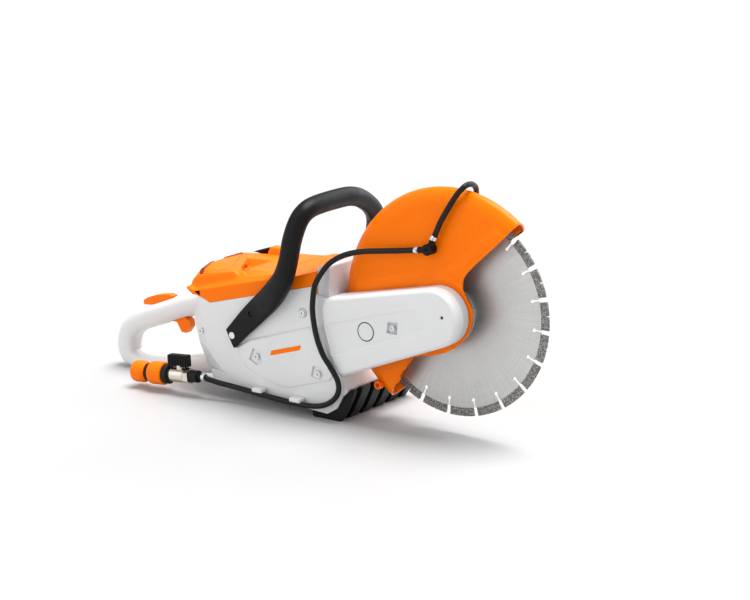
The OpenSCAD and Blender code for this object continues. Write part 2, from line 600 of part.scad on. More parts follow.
module rear_handle_right() color(white) difference() {
    grip_solid();
    box(-400, 0, wheel_y, 40, -20, 200);
    ycyl(trigger_pivot[0], trigger_pivot[1], -33, -22, pin_r + 0.02);
    ycyl(lockout_pivot[0], lockout_pivot[1], -33, -22, pin_r + 0.02);
}
module rear_handle_left() color(white) difference() {
    grip_solid();
    box(-400, 0, -80, wheel_y + 0.01, -20, 200);
    ycyl(trigger_pivot[0], trigger_pivot[1], -24, -12, pin_r + 0.02);
    ycyl(lockout_pivot[0], lockout_pivot[1], -24, -12, pin_r + 0.02);
}
module trigger() color(orange) difference() {
    union() {
        xz(-29, -17) polygon([[-242, 88], [-246, 91], [-250, 95], [-264, 89], [-279, 87], [-279, 83.5], [-267, 83],
            [-258, 69], [-249, 69], [-241.5, 79]]);
        ycyl(trigger_pivot[0], trigger_pivot[1], -32, -14, pin_r - 0.03);
    }
    ycyl(-260, 82, -25, -21, 2.5);
}
module trigger_spring() color(steel) {
    translate([-262, -23, 91.4]) difference() {
        cylinder(h = 12, r = 3);
        translate([0, 0, -1]) cylinder(h = 15, r = 2.2);
    }
}
module lockout_lever() color(orange) difference() {
    union() {
        xz(-29, -17) polygon([[-330.5, 101], [-331, 107.5], [-323, 112.6], [-311.5, 117.2], [-294, 121.4],
            [-281, 123.2], [-274.5, 121.5], [-275, 112], [-277, 101], [-284, 99], [-300, 106], [-318, 102]]);
        ycyl(lockout_pivot[0], lockout_pivot[1], -32, -14, pin_r - 0.03);
    }
    ycyl(-300, 130, -30, -16, 1);
}
module trigger_switch() color("#3a3d40") difference() {
    box(-284, -274, -28, -18, 90.5, 98);
    ycyl(-279, 88, -29, -17, 1);
}

// ---- foot and screws ----
foot_outline = [[22, 1], [26, 0], [70, 0], [80, 14], [92, 40], [95, 50], [88, 50], [86.2, 46.6], [76.2, 37.6],
    [66.2, 18.8], [50, 8.8], [22, 10.2]];
module front_foot() color(black) difference() {
    xz(-80, 84) polygon(foot_outline);
    for (i = [0 : 7]) translate([0, -70 + 20 * i, 0]) xz(0, 10)
        polygon([[58, -1], [73, -1], [82, 12], [94, 40], [96, 52], [92.5, 52], [89, 42], [78, 16], [70, 3], [60, 3]]);
}
screw_places = [[-176, 96], [-72, 74], [37, 66], [8, 150]];
module screw_holes() for (p = screw_places) {
    ycyl(p[0], p[1], -95, -70, 2.05);
    ycyl(p[0], p[1], left_y - 12, left_y + 3, 2.05);
}
module casing_screws() for (i = [0 : 3]) let(p = screw_places[i],
    face = (i == 1 || i == 2) ? cover_y + 1 : right_y) {
    difference() {
        ycyl(p[0], p[1], face - 2.4, face - 0.02, 4.2);
        translate([p[0], face - 3, p[1]]) rotate([-90, 0, 0]) cylinder(h = 2, r = 2.2, $fn = 6);
    }
    ycyl(p[0], p[1], face - 0.1, face + 10, 2);
    ycyl(p[0], p[1], left_y + 0.02, left_y + 2.4, 4.2);
    ycyl(p[0], p[1], left_y - 8, left_y + 0.1, 2);
}

right_casing();
left_casing();
base_casing();
front_casing();
side_cover();
hood();
battery_lid();
lid_hinge_pin();
latch_flap();
flap_grips();
release_button();
battery_pack();
contact_block();
motor_controller();
wiring_harness();
motor_can();
motor_stator();
motor_rotor();
motor_shaft();
cooling_fan();
motor_bearings();
drive_pulley();
drive_belt();
driven_pulley();
arm_case();
arm_cover();
arm_cap();
tension_screw();
spindle();
spindle_bearings();
inner_flange();
outer_flange();
arbor_bolt();
wheel_core();
wheel_segments();
guard_near_shell();
guard_far_shell();
guard_ring();
hose_fitting();
guard_hose_clamps();
water_nozzles();
feed_hose();
free_hose();
guard_hose();
hose_clips();
hose_ferrule();
valve_body();
valve_ball();
valve_knob();
coupling_body();
coupling_collar();
front_handle();
front_foot();
fasteners();
rear_handle_right();
rear_handle_left();
trigger();
trigger_spring();
lockout_lever();
trigger_switch();
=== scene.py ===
import json
import math

import bmesh
import bpy
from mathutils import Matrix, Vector


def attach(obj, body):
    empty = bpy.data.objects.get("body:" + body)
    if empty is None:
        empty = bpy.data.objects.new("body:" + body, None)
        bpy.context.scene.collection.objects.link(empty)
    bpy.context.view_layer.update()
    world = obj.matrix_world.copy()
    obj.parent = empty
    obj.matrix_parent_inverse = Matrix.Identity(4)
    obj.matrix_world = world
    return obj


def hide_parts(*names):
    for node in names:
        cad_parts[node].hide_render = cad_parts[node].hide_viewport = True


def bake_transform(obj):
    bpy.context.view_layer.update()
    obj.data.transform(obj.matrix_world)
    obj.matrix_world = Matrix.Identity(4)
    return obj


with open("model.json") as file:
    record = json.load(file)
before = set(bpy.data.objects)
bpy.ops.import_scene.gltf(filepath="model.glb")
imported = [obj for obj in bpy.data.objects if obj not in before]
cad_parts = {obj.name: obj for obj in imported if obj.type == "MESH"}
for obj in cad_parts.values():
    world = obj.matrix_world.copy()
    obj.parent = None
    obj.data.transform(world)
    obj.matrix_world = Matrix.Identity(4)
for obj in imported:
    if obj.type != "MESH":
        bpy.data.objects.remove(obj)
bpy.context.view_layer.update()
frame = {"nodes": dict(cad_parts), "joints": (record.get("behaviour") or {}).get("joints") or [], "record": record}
NODES = frame["nodes"]
MM = 0.001
JOINTS = {joint["name"]: joint for joint in frame["joints"]}
# The wheel's centre and the plane of the rear handle, in millimetres like every other size below.
WHEEL = [round(c / MM, 3) for c in JOINTS["wheel_spin"]["pos_m"]]
HANDLE_Y = WHEEL[1]


# ---- materials ----
class Graph:
    """A material's node tree, with shorthands."""

    def __init__(self, name):
        self.material = bpy.data.materials.new(name)
        self.material.use_nodes = True
        self.tree = self.material.node_tree
        self.shader = self.tree.nodes["Principled BSDF"]
        self.place = self.add("ShaderNodeTexCoord").outputs["Object"]

    def add(self, kind, **settings):
        node = self.tree.nodes.new(kind)
        for key, value in settings.items():
            setattr(node, key, value)
        return node

    def link(self, output, socket):
        self.tree.links.new(output, socket)

    def noise(self, scale, detail=3.0, vector=None, rough=0.55):
        node = self.add("ShaderNodeTexNoise")
        node.inputs["Scale"].default_value = scale
        node.inputs["Detail"].default_value = detail
        node.inputs["Roughness"].default_value = rough
        self.link(vector or self.place, node.inputs["Vector"])
        return node.outputs["Fac"]

    def spread(self, value, low, high, start=0.3, end=0.7):
        node = self.add("ShaderNodeMapRange")
        for key, number in (("From Min", start), ("From Max", end), ("To Min", low), ("To Max", high)):
            node.inputs[key].default_value = number
        self.link(value, node.inputs["Value"])
        return node.outputs["Result"]

    def maths(self, operation, a, b=None):
        node = self.add("ShaderNodeMath", operation=operation)
        for socket, value in zip(node.inputs, (a, b)):
            if value is None:
                continue
            if isinstance(value, (int, float)):
                socket.default_value = value
            else:
                self.link(value, socket)
        return node.outputs["Value"]

    def mix(self, factor, a, b):
        node = self.add("ShaderNodeMix", data_type="RGBA")
        for socket, value in zip((node.inputs["Factor"], node.inputs[6], node.inputs[7]), (factor, a, b)):
            if isinstance(value, bpy.types.NodeSocket):
                self.link(value, socket)
            else:
                socket.default_value = (*value, 1.0) if isinstance(value, tuple) else value
        return node.outputs[2]

    def bump(self, height, strength, distance):
        node = self.add("ShaderNodeBump")
        node.inputs["Strength"].default_value = strength
        node.inputs["Distance"].default_value = distance
        self.link(height, node.inputs["Height"])
        self.link(node.outputs["Normal"], self.shader.inputs["Normal"])


def shade(colour, factor):
    return tuple(min(1.0, c * factor) for c in colour)


def moulded(name, colour, rough, metallic=0.0, grain=1400.0, bump=0.12, spread=0.07, wear=0.05, gloss=0.4,
            seam=False):
    """Plastic, paint or plain metal: a fine surface grain, slow colour drift and handling marks. With seam, a
    thin dark line shows where two half shells meet."""
    g = Graph(name)
    drift = g.spread(g.noise(9.0), 0.0, 1.0)
    base = g.mix(drift, shade(colour, 1 - wear), shade(colour, 1 + wear * 0.6))
    marks = g.spread(g.noise(160.0, 5.0, rough=0.7), 0.0, 0.22, 0.62, 0.8)
    base = g.mix(marks, base, shade(colour, 1 - 3.2 * wear))
    if seam:
        split = g.add("ShaderNodeSeparateXYZ")
        g.link(g.place, split.inputs["Vector"])
        off = g.maths("ABSOLUTE", g.maths("SUBTRACT", split.outputs["Y"], HANDLE_Y * MM))
        line = g.maths("LESS_THAN", off, 0.35 * MM)
        base = g.mix(line, base, shade(colour, 0.35))
    g.link(base, g.shader.inputs["Base Color"])
    g.link(g.spread(g.noise(70.0, 4.0), rough - spread, rough + spread), g.shader.inputs["Roughness"])
    g.shader.inputs["Metallic"].default_value = metallic
    g.shader.inputs["Specular IOR Level"].default_value = gloss
    if metallic == 0.0 and max(colour) > 3 * min(colour):
        tint = [0.85 * c / max(colour) + 0.15 for c in colour]
        g.shader.inputs["Specular Tint"].default_value = (*tint, 1.0)
    g.bump(g.noise(grain, 2.0), bump, 0.0003)
    return g.material


def brushed_disc(name, colour, rough):
    """Ground steel: fine rings round the wheel's axis, crossed by faint radial streaks."""
    g = Graph(name)
    shift = g.add("ShaderNodeVectorMath", operation="SUBTRACT")
    g.link(g.place, shift.inputs[0])
    shift.inputs[1].default_value = [w * MM for w in WHEEL]
    split = g.add("ShaderNodeSeparateXYZ")
    g.link(shift.outputs["Vector"], split.inputs["Vector"])
    x, z = split.outputs["X"], split.outputs["Z"]
    radius = g.maths("SQRT", g.maths("ADD", g.maths("MULTIPLY", x, x), g.maths("MULTIPLY", z, z)))
    angle = g.maths("ARCTAN2", z, x)
    rings, rays = g.add("ShaderNodeCombineXYZ"), g.add("ShaderNodeCombineXYZ")
    g.link(g.maths("MULTIPLY", radius, 1500.0), rings.inputs["X"])
    g.link(g.maths("MULTIPLY", angle, 3.0), rings.inputs["Y"])
    g.link(g.maths("MULTIPLY", radius, 12.0), rays.inputs["X"])
    g.link(g.maths("MULTIPLY", angle, 55.0), rays.inputs["Y"])
    ring = g.noise(1.0, 3.0, rings.outputs["Vector"])
    ray = g.noise(1.0, 4.0, rays.outputs["Vector"])
    cloud = g.noise(22.0, 4.0)
    both = g.maths("ADD", g.maths("MULTIPLY", ring, 0.5), g.maths("MULTIPLY", ray, 0.5))
    base = g.mix(g.spread(both, 0.0, 1.0, 0.35, 0.65), shade(colour, 0.86), shade(colour, 1.1))
    base = g.mix(g.spread(cloud, 0.0, 0.35, 0.45, 0.75), base, shade(colour, 0.82))
    g.link(base, g.shader.inputs["Base Color"])
    g.link(g.spread(both, rough - 0.07, rough + 0.08), g.shader.inputs["Roughness"])
    g.shader.inputs["Metallic"].default_value = 0.75
    g.bump(both, 0.12, 0.0002)
    return g.material


def sintered(name):
    """Diamond segments: grey matrix with lighter grit and dark pits."""
    g = Graph(name)
    grit = g.add("ShaderNodeTexVoronoi")
    grit.inputs["Scale"].default_value = 420.0
    g.link(g.place, grit.inputs["Vector"])
    cells = g.spread(grit.outputs["Distance"], 0.0, 1.0, 0.12, 0.55)
    base = g.mix(cells, (0.60, 0.58, 0.56), (0.16, 0.155, 0.15))
    pits = g.spread(g.noise(480.0, 4.0, rough=0.8), 0.0, 1.0, 0.5, 0.62)
    base = g.mix(pits, base, (0.27, 0.262, 0.255))
    g.link(base, g.shader.inputs["Base Color"])
    g.link(g.spread(cells, 0.55, 0.8, 0.0, 1.0), g.shader.inputs["Roughness"])
    g.shader.inputs["Metallic"].default_value = 0.35
    g.bump(g.maths("ADD", cells, pits), 0.6, 0.0005)
    return g.material


CASE_WHITE = (0.73, 0.735, 0.74)
BODY_ORANGE = (1.0, 0.185, 0.0)
WHITE = moulded("white_plastic", CASE_WHITE, 0.42, grain=1700.0, bump=0.08, wear=0.02)
GRIP_WHITE = moulded("white_grip", CASE_WHITE, 0.45, grain=1500.0, bump=0.1, wear=0.02, seam=True)
GREY = moulded("grey_metal", (0.58, 0.595, 0.61), 0.4, metallic=0.1, grain=1500.0, bump=0.12, wear=0.03)
LIGHT = moulded("light_base", (0.74, 0.745, 0.75), 0.45, grain=1500.0, bump=0.1, wear=0.03)
ORANGE = moulded("orange_plastic", BODY_ORANGE, 0.38, grain=1600.0, bump=0.08, wear=0.03)
GUARD = moulded("guard_orange", BODY_ORANGE, 0.3, grain=700.0, bump=0.06, wear=0.03)
# This dark red is painted shade where it colours the latch flap's grip pads.
RED = moulded("red_plastic", (0.24, 0.022, 0.006), 0.4, grain=1500.0, bump=0.1)
BUTTON = moulded("button_red", (0.72, 0.075, 0.004), 0.5, grain=1500.0, bump=0.1)
BLACK = moulded("black_plastic", (0.008, 0.0084, 0.009), 0.42, grain=1100.0, bump=0.35, spread=0.08,
                gloss=0.13, wear=0.12)
RUBBER = moulded("rubber_hose", (0.009, 0.0094, 0.01), 0.42, grain=600.0, bump=0.25, gloss=0.2, wear=0.15)
STEEL = moulded("steel", (0.66, 0.67, 0.68), 0.3, metallic=0.95, grain=900.0, bump=0.15, wear=0.06)
DARK = moulded("dark_steel", (0.2, 0.205, 0.21), 0.4, metallic=0.8, grain=900.0, bump=0.2, wear=0.08)
NICKEL = moulded("nickel", (0.66, 0.61, 0.53), 0.24, metallic=1.0, grain=500.0, bump=0.12, wear=0.06)
CABLE = moulded("red_cable", (0.4, 0.02, 0.012), 0.5)
COPPER = moulded("copper_windings", (0.42, 0.2, 0.1), 0.4, metallic=0.5)
DISC = brushed_disc("wheel_steel", (0.56, 0.56, 0.555), 0.42)
GRIT = sintered("diamond")
MATERIAL = {
    "white_plastic": WHITE, "grey_metal": GREY, "orange_plastic": ORANGE, "red_plastic": RED,
    "black_plastic": BLACK, "rubber_hose": RUBBER, "steel": STEEL, "dark_steel": DARK, "wheel_steel": DISC,
    "diamond": GRIT, "nickel": NICKEL, "guard_orange": GUARD, "red_cable": CABLE, "copper_windings": COPPER,
}


# ---- shapes, in millimetres ----
def fillet(points, radius, steps=5):
    """Rounds every corner of a closed outline. radius is one number or one for each corner."""
    out, n = [], len(points)
    for i, here in enumerate(points):
        b = Vector(here)
        u, v = Vector(points[i - 1]) - b, Vector(points[(i + 1) % n]) - b
        r = radius[i] if isinstance(radius, (list, tuple)) else radius
        half = max(0.1, u.angle(v) / 2)
        t = max(0.15, min(r / math.tan(half) if half < 1.56 else 0.15, 0.45 * u.length, 0.45 * v.length))
        p, q = b + u.normalized() * t, b + v.normalized() * t
        for k in range(steps + 1):
            s = k / steps
            out.append(tuple(p * (1 - s) ** 2 + b * 2 * s * (1 - s) + q * s * s))
    return out


def inset(points, distance):
    """Moves a closed outline inwards by a distance."""
    n = len(points)
    area = sum(points[i - 1][0] * points[i][1] - points[i][0] * points[i - 1][1] for i in range(n))
    sign = 1 if area > 0 else -1
    out = []
    for i in range(n):
        a, b, c = Vector(points[i - 1]), Vector(points[i]), Vector(points[(i + 1) % n])
        u, v = (b - a).normalized(), (c - b).normalized()
        m, k = Vector((-u.y, u.x)) * sign, Vector((-v.y, v.x)) * sign
        w = m + k
        w = w / max(0.35, w.length_squared / 2) if w.length > 1e-6 else m
        out.append(tuple(b + w * distance))
    return out


def mesh_from(bm, name):
    """Turns a finished bmesh into an object of the scene."""
    bmesh.ops.recalc_face_normals(bm, faces=bm.faces)
    data = bpy.data.meshes.new(name)
    bm.to_mesh(data)
    bm.free()
    thing = bpy.data.objects.new(name, data)
    bpy.context.scene.collection.objects.link(thing)
    return thing


def loft(name, rings, caps=True, closed=True):
    """Skins a row of rings that all have the same number of points."""
    bm = bmesh.new()
    rows = [[bm.verts.new(Vector(p) * MM) for p in ring] for ring in rings]
    if len(rings) > 2 and rings[0] is rings[-1]:
        bmesh.ops.delete(bm, geom=rows[-1], context="VERTS")
        rows[-1] = rows[0]
    n = len(rows[0])
    for a, b in zip(rows, rows[1:]):
        for i in range(n if closed else n - 1):
            bm.faces.new((a[i], a[(i + 1) % n], b[(i + 1) % n], b[i]))
    if caps:
        bm.faces.new(rows[0])
        bm.faces.new(rows[-1])
    return mesh_from(bm, name)


def side_rings(outline, steps):
    """Rings in the XZ plane. steps are (inset, y) pairs."""
    return [[(x, y, z) for x, z in (inset(outline, d) if d else outline)] for d, y in steps]


def tidy_shading(thing, bevel=0.0, segments=2, angle=32.0, weld=False):
    """Eases the edges sharper than angle and evens the shading. weld joins a CAD mesh's triangles first."""
    if weld:
        w = thing.modifiers.new("weld", "WELD")
        w.merge_threshold = 2e-6
        d = thing.modifiers.new("flat", "DECIMATE")
        d.decimate_type = "DISSOLVE"
        d.angle_limit = math.radians(0.6)
    if bevel:
        b = thing.modifiers.new("bevel", "BEVEL")
        b.width = bevel * MM
        b.segments = segments
        b.limit_method = "ANGLE"
        b.angle_limit = math.radians(angle)
        b.use_clamp_overlap = True
    n = thing.modifiers.new("normals", "WEIGHTED_NORMAL")
    n.weight = 80


def finish_piece(thing, body, material, nodes=(), bevel=0.0, segments=2, angle=32.0, weighted=True):
    """Gives a piece its material, smooth shading and body, and hides the CAD nodes that it replaces."""
    thing.data.materials.append(material)
    thing.data.polygons.foreach_set("use_smooth", [True] * len(thing.data.polygons))
    if weighted:
        tidy_shading(thing, bevel, segments, angle)
    if body:
        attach(thing, body)
    if nodes:
        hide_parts(*nodes)
    return thing


def carve(thing, cutters, operation="DIFFERENCE"):
    """Cuts the cutters out of thing, or keeps what they share with it, and removes them."""
    for i, cutter in enumerate(cutters):
        m = thing.modifiers.new("cut%d" % i, "BOOLEAN")
        m.operation = operation
        m.solver = "EXACT"
        m.object = cutter
    graph = bpy.context.evaluated_depsgraph_get()
    done = bpy.data.meshes.new_from_object(thing.evaluated_get(graph))
    thing.modifiers.clear()
    thing.data = done
    for cutter in cutters:
        bpy.data.objects.remove(cutter)
    return thing


def box(name, low, high):
    """Box between its lowest and highest corners."""
    x0, y0, z0 = low
    x1, y1, z1 = high
    return loft(name, [[(x0, y0, z), (x1, y0, z), (x1, y1, z), (x0, y1, z)] for z in (z0, z1)])


def rod(name, x, z, y0, y1, radius, sides=40):
    """Round bar along Y."""
    ring = [(x + radius * math.cos(2 * math.pi * k / sides), z + radius * math.sin(2 * math.pi * k / sides))
            for k in range(sides)]
    return loft(name, [[(a, y, b) for a, b in ring] for y in (y0, y1)])


def prism(name, outline, y0, y1):
    """Outline of (x, z) points drawn out along Y."""
    return loft(name, [[(x, y, z) for x, z in outline] for y in (y0, y1)])


def curve(points, steps):
    """Catmull-Rom curve through points of any number of values."""
    out, last = [], len(points) - 1
    for i in range(last):
        a, b, c, d = (points[max(0, min(last, i + k))] for k in (-1, 0, 1, 2))
        for k in range(steps):
            t = k / steps
            out.append([0.5 * (2 * q + (r - p) * t + (2 * p - 5 * q + 4 * r - s) * t * t
                               + (3 * q - p - 3 * r + s) * t ** 3) for p, q, r, s in zip(a, b, c, d)])
    out.append(list(points[-1]))
    return out


def sweep(name, path, side, sides=28):
    """Sweeps a rounded section along path. Each point is x, y, z, half width across side, half width along
    side, and how square the section is (2 is an oval)."""
    rings = []
    for i, p in enumerate(path):
        here = Vector(p[:3])
        t = (Vector(path[min(i + 1, len(path) - 1)][:3]) - Vector(path[max(i - 1, 0)][:3])).normalized()
        v = t.cross(Vector(side)).normalized()
        u = v.cross(t)
        ring = []
        for k in range(sides):
            a = 2 * math.pi * k / sides
            c, s = math.cos(a), math.sin(a)
            e = 2 / p[5]
            ring.append(tuple(here + u * p[3] * math.copysign(abs(c) ** e, c)
                              + v * p[4] * math.copysign(abs(s) ** e, s)))
        rings.append(ring)
    return loft(name, rings)


def lathe(name, profile, origin, axis, sides=48, radial=lambda a, s, r: r, hollow=False):
    """Turns a profile of (distance along axis, radius) pairs round an axis. A hollow one closes on itself."""
    w = Vector(axis).normalized()
    u = w.orthogonal().normalized()
    v = w.cross(u)
    rings = []
    for s, r in profile:
        ring = []
        for k in range(sides):
            a = 2 * math.pi * k / sides
            q = radial(a, s, r)
            ring.append(tuple(Vector(origin) + w * s + (u * math.cos(a) + v * math.sin(a)) * q))
        rings.append(ring)
    return loft(name, rings + rings[:1] if hollow else rings, caps=not hollow)


def tube(name, route, diameter, side, steps=8, sides=18):
    """Round hose along a smooth curve through the route's points."""
    r = diameter / 2
    return sweep(name, [[*p, r, r, 2.0] for p in curve(route, steps)], side, sides)


# ---- casings ----
# Each half is skinned over outlines in the XZ plane: narrow at the split, wide at the edge, then the cheek.
CASING = [(-186, 150), (-190, 110), (-172, 58), (-160, 40), (76, 38), (86, 47), (74, 66), (51, 110),
          (51, 176), (30, 178), (24, 190.3), (-162, 139.3)]
WIDE = [(-190, 150), (-201, 108), (-191, 74), (-175, 40)] + CASING[4:]
CHEEK = [(-184, 149), (-175, 112), (-165, 70), (-134, 39.5)] + CASING[4:11] + [(-160, 139.8)]
CORNERS = [5, 14, 12, 9, 5, 5, 8, 10, 4, 3, 2, 6]
SPLIT_Y = 10
SPLIT_GAP = 0.1
casing, wide, cheek = (fillet(outline, CORNERS) for outline in (CASING, WIDE, CHEEK))


def casing_half(name, rows, cutters, node):
    shell = loft(name, [[(x, y, z) for x, z in ring] for ring, y in rows])
    finish_piece(carve(shell, cutters), "machine", WHITE, [node], bevel=2.2, segments=4,
                 angle=24)


casing_half("casing_right", [(casing, SPLIT_Y), (casing, -30), (wide, -69), (cheek, -83)],
            [box("bay", (-160, -54, 42), (-62, 40, 205)), rod("boss", 8, 150, -90, -81.6, 7.2)],
            "right_casing")
VENT = [(-31, 70), (-25, 70), (-22, 112), (-28, 112)]
VENT_PITCH = 13
vents = [prism("vent%d" % i, fillet([(x + VENT_PITCH * i, z) for x, z in VENT], 2.6, 3), 82, 90)
         for i in range(6)]
casing_half("casing_left", [(casing, SPLIT_Y + SPLIT_GAP), (casing, 34), (wide, 73), (cheek, 87)],
            [box("bay", (-160, -20, 42), (-62, 62, 205))] + vents, "left_casing")
BOSS = [(-82.2, 4.2), (-82.2, 6.0), (-84.0, 6.0), (-84.4, 5.4), (-84.4, 4.6), (-84.0, 4.2)]
boss = lathe("screw_boss", BOSS, (8, 0, 150), (0, 1, 0), 40, hollow=True)
finish_piece(boss, "machine", WHITE, weighted=False)

BASE = [(-160, 39.8), (-151, 19), (50, 9), (66, 19), (76, 37.8)]
base = prism("base_shell", fillet(BASE, [0.3, 6, 6, 5, 0.3]), -82.6, 86.6)
finish_piece(base, "machine", LIGHT, ["base_casing"], bevel=1.4, segments=3, angle=40)
FRONT = [(30, 174), (51, 172.5), (51, 224), (40, 222), (30, 217)]
front = prism("front_shell", fillet(FRONT, [0.3, 0.3, 6, 4, 4]), -78, 82)
finish_piece(front, "machine", GREY, ["front_casing"], bevel=3.5, segments=4, angle=40)

# ---- cover over the drive side of the casing ----
COVER = [(-115, 80), (-96, 55), (-40, 37), (-16, 37), (55, 59), (66, 73.5), (52.2, 96), (40.2, 135),
         (38.4, 136), (20, 131), (-84, 98)]
FACE = [(-108, 79.4), (-91, 66.5), (-45, 50.5), (-24, 50.5), (44, 73.5), (60, 82), (50, 98), (38.8, 132.6),
        (37.4, 133.6), (20.6, 129), (-82, 96)]
POCKETS = [[(-86, 68), (-79, 86), (-64, 83), (-62, 66), (-72, 61)],
           [(24, 60), (28, 77), (42, 77), (50, 64), (44, 57)]]
POCKET_FLOOR_Y = -84.2
outer, face = fillet(COVER, 4, 4), fillet(FACE, 5, 4)
cover_rows = [(outer, -82.6), (outer, -84.2), (inset(outer, 0.7), -84.8), (face, -87.0)]
cover = loft("side_cover_shell", [[(x, y, z) for x, z in ring] for ring, y in cover_rows])
cover = carve(cover, [prism("pocket%d" % i, fillet(p, 3, 3), -90, POCKET_FLOOR_Y)
                      for i, p in enumerate(POCKETS)])
finish_piece(cover, "machine", WHITE, ["side_cover"], bevel=0.6, segments=2, angle=12)

# A plain bar, with no lettering.
BAND = fillet([(-48, 79.5), (-45.5, 87.5), (8, 104), (5.5, 96)], 1.6, 3)
band = loft("side_mark", [[(x, -86.9, z) for x, z in BAND], [(x, -87.25, z) for x, z in inset(BAND, 0.15)]])
finish_piece(band, "machine", ORANGE)


# ---- battery lid and latch flap ----
def along(x, *points):
    """Straight-line interpolation through (x, value) points."""
    for (x0, v0), (x1, v1) in zip(points, points[1:]):
        if x <= x1:
            break
    return v0 + (v1 - v0) * (x - x0) / (x1 - x0)


def ease(t):
    t = max(0.0, min(1.0, t))
    return t * t * (3 - 2 * t)


# The release button's pocket: each plan edge, and how fast the floor falls away from it.
POCKET = [((-161.4, 5.4), (-107, 0.8), 1.4), ((-107, 0.8), (-94.5, -74), 0.3),
          ((-94.5, -74), (-122.8, -58.2), 0.9), ((-122.8, -58.2), (-161.4, 5.4), 4.0)]
POCKET_DEPTH = 10.5
LID_NEAR, LID_FAR = -82, 86
LID_ROWS, LID_STEPS = 140, 122
REAR_EDGE = ((-203, 157.6), (-189.8, 153.1))


def pocket_depth(x, y):
    """Depth of the release button's pocket at a point of the lid's plan."""
    depth = POCKET_DEPTH
    for (ax, ay), (bx, by), fall in POCKET:
        across = ((bx - ax) * (y - ay) - (by - ay) * (x - ax)) / math.hypot(bx - ax, by - ay)
        depth = min(depth, -across * fall)
    return max(0.0, depth)


def from_side(y):
    """Distance of a point from the lid's nearer side."""
    return min(y - LID_NEAR, LID_FAR - y)


def lid_height(x, y):
    """Top of the lid: a ledge along the side, a steep facet above it and a crowned top."""
    d = from_side(y)
    low = along(x, (-203, 157.4), (-189.8, 153), (-58, 188))
    ledge = low + along(x, (-199, 4.0), (-175, 6.0), (-120, 8.0), (-58, 6.5))
    brow = along(x, (-199, 171.5), (-127, 188.8), (-58, 193.5))
    shoulder = along(x, (-199, 179.5), (-148, 187.5), (-107, 191.8), (-58, 195.5))
    crown = along(x, (-199, 186), (-107, 193), (-58, 196.5))
    brow -= 0.8 * ease((x + 127) / 14) * (brow - ledge)
    return along(d, (0, low), (9, ledge), (11.5, brow), (23, shoulder), (46, crown), (84, crown + 0.5))


def lid_block(name, outer, inner):
    """Closed slab over the lid's top and rear wall, from inner to outer millimetres above its surface.

    A station is a place along X, how upright the wall is there (0 is flat), and its height where that is set.
    """
    stations = [(-203, 1.0, 157.6), (-201, 0.9, None), (-198, 0.6, None), (-194.5, 0.3, None)]
    stations += [(-192 + 134 * i / LID_STEPS, 0.0, None) for i in range(LID_STEPS + 1)]
    bm = bmesh.new()
    sheets = []
    for offset in (outer, inner):
        sheet = []
        for x, lean, z in stations:
            row = []
            for j in range(LID_ROWS + 1):
                y = -81.6 + 167.2 * j / LID_ROWS
                depth = offset
                if offset < 0:
                    depth = offset * (0.25 + 0.75 * ease(from_side(y) / 9))
                h = lid_height(x, y) - pocket_depth(x, y) - 9 * lean * lean * ease((from_side(y) - 6) / 8)
                h = max(along(x, *REAR_EDGE), h) if z is None else z
                row.append(bm.verts.new(Vector((x - depth * lean, y, h + depth * (1 - lean))) * MM))
            sheet.append(row)
        sheets.append(sheet)
    for sheet in sheets:
        for a, b in zip(sheet, sheet[1:]):
            for j in range(LID_ROWS):
                bm.faces.new((a[j], b[j], b[j + 1], a[j + 1]))
    up, down = sheets
    for i in range(len(stations) - 1):
        for j in (0, LID_ROWS):
            bm.faces.new((up[i][j], up[i + 1][j], down[i + 1][j], down[i][j]))
    for i in (0, -1):
        for j in range(LID_ROWS):
            bm.faces.new((up[i][j], up[i][j + 1], down[i][j + 1], down[i][j]))
    return mesh_from(bm, name)


def upright(name, outline):
    """Prism standing on a plan outline, from below the lid's top to above it."""
    return loft(name, [[(x, y, z) for x, y in outline] for z in (168, 210)])


FLAP = fillet([(-208, -31), (-198, -34), (-193, -56), (-187, -67.5), (-164, -68.5), (-147, -56), (-146, -46),
               (-181, 17), (-190, 34), (-208, 34)], [0.3, 4, 5, 5, 12, 8, 8, 8, 4, 0.3], 4)
# The flap moves up to here. In front of it, its outline goes on as a groove in the fixed lid.
FLAP_END = -164.6


def ahead_of(x):
    return box("ahead", (x, -120, 150), (-100, 120, 230))


seat = carve(upright("flap_seat", inset(FLAP, -0.05)), [lid_block("room", 15, -2.6)], "INTERSECT")
seat = carve(seat, [ahead_of(FLAP_END + 0.2)])
groove = carve(upright("groove", inset(FLAP, -1.1)), [upright("inside", FLAP)])
groove = carve(groove, [lid_block("room", 15, -2.6)], "INTERSECT")
lid = carve(lid_block("lid_shell", 0, -5), [seat, groove])
finish_piece(lid, "lid", ORANGE, ["battery_lid"], weighted=False)
# A black strip down in the groove round the flap paints the shade of the gap between flap and lid.
seam = carve(upright("flap_seam_shade", inset(FLAP, -1.05)), [upright("inside", inset(FLAP, -0.1))])
seam = carve(seam, [lid_block("room", -0.4, -2.5)], "INTERSECT")
finish_piece(seam, "lid", BLACK, weighted=False)
flap = carve(upright("flap_shell", FLAP), [lid_block("skin", 0, -2.3)], "INTERSECT")
flap = carve(flap, [ahead_of(FLAP_END)])
finish_piece(flap, "flap", ORANGE, ["latch_flap"], weighted=False)
# The pads' dark red paints the shade on the walls of the flap's grips.
GRIPS = [[(-193, -63), (-189, -68.5), (-184, -67), (-187, -59), (-191, -45), (-193, -29), (-206, -28),
          (-199, -42)], [(-206, -3), (-191, -3), (-188, 33), (-206, 33)]]
for i, outline in enumerate(GRIPS):
    pad = upright("flap_grip%d" % i, fillet(outline, 2.0, 3))
    pad = carve(pad, [lid_block("pad", 1.5, -2.5)], "INTERSECT")
    finish_piece(pad, "flap", RED, ["flap_grips"] if i == 0 else (), weighted=False)

